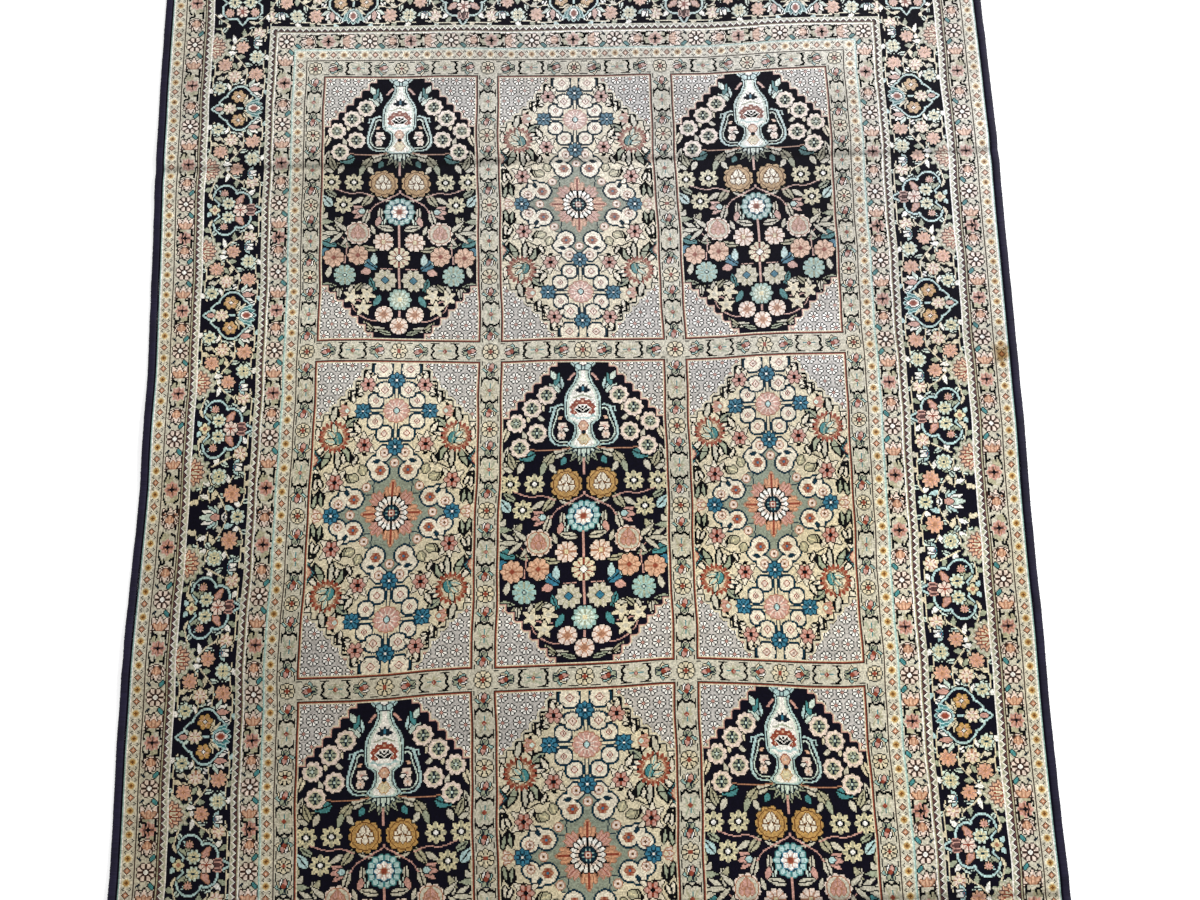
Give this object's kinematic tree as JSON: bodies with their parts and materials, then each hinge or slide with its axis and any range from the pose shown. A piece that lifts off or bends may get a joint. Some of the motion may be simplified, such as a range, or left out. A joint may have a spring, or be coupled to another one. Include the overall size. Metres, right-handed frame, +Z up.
{
  "type": "hand-knotted silk rug",
  "caption": "Flat hand-knotted silk rug with panelled garden field and flowered borders, overcast edge cords along the sides and a short warp fringe at each end.",
  "frame": {"origin": "on the floor under the middle of the rug", "axes": "+Y along the rug towards its head, +X across it to the right, +Z up out of the pile"},
  "size_m": [1.226, 1.9086, 0.0095],
  "materials": {
    "silk_pile": "cut silk pile in about twenty dyes, knotted to the charted design, with a soft lustre",
    "edge_silk": "dark navy silk overcast closely round the edge warps",
    "warp_silk": "undyed ivory silk, loosely twisted warp ends"
  },
  "bodies": {
    "root": {"knotted_body": "silk_pile", "edge_cord_left": "edge_silk", "edge_cord_right": "edge_silk", "fringe_head": "warp_silk", "fringe_foot": "warp_silk"}
  },
  "joints": []
}
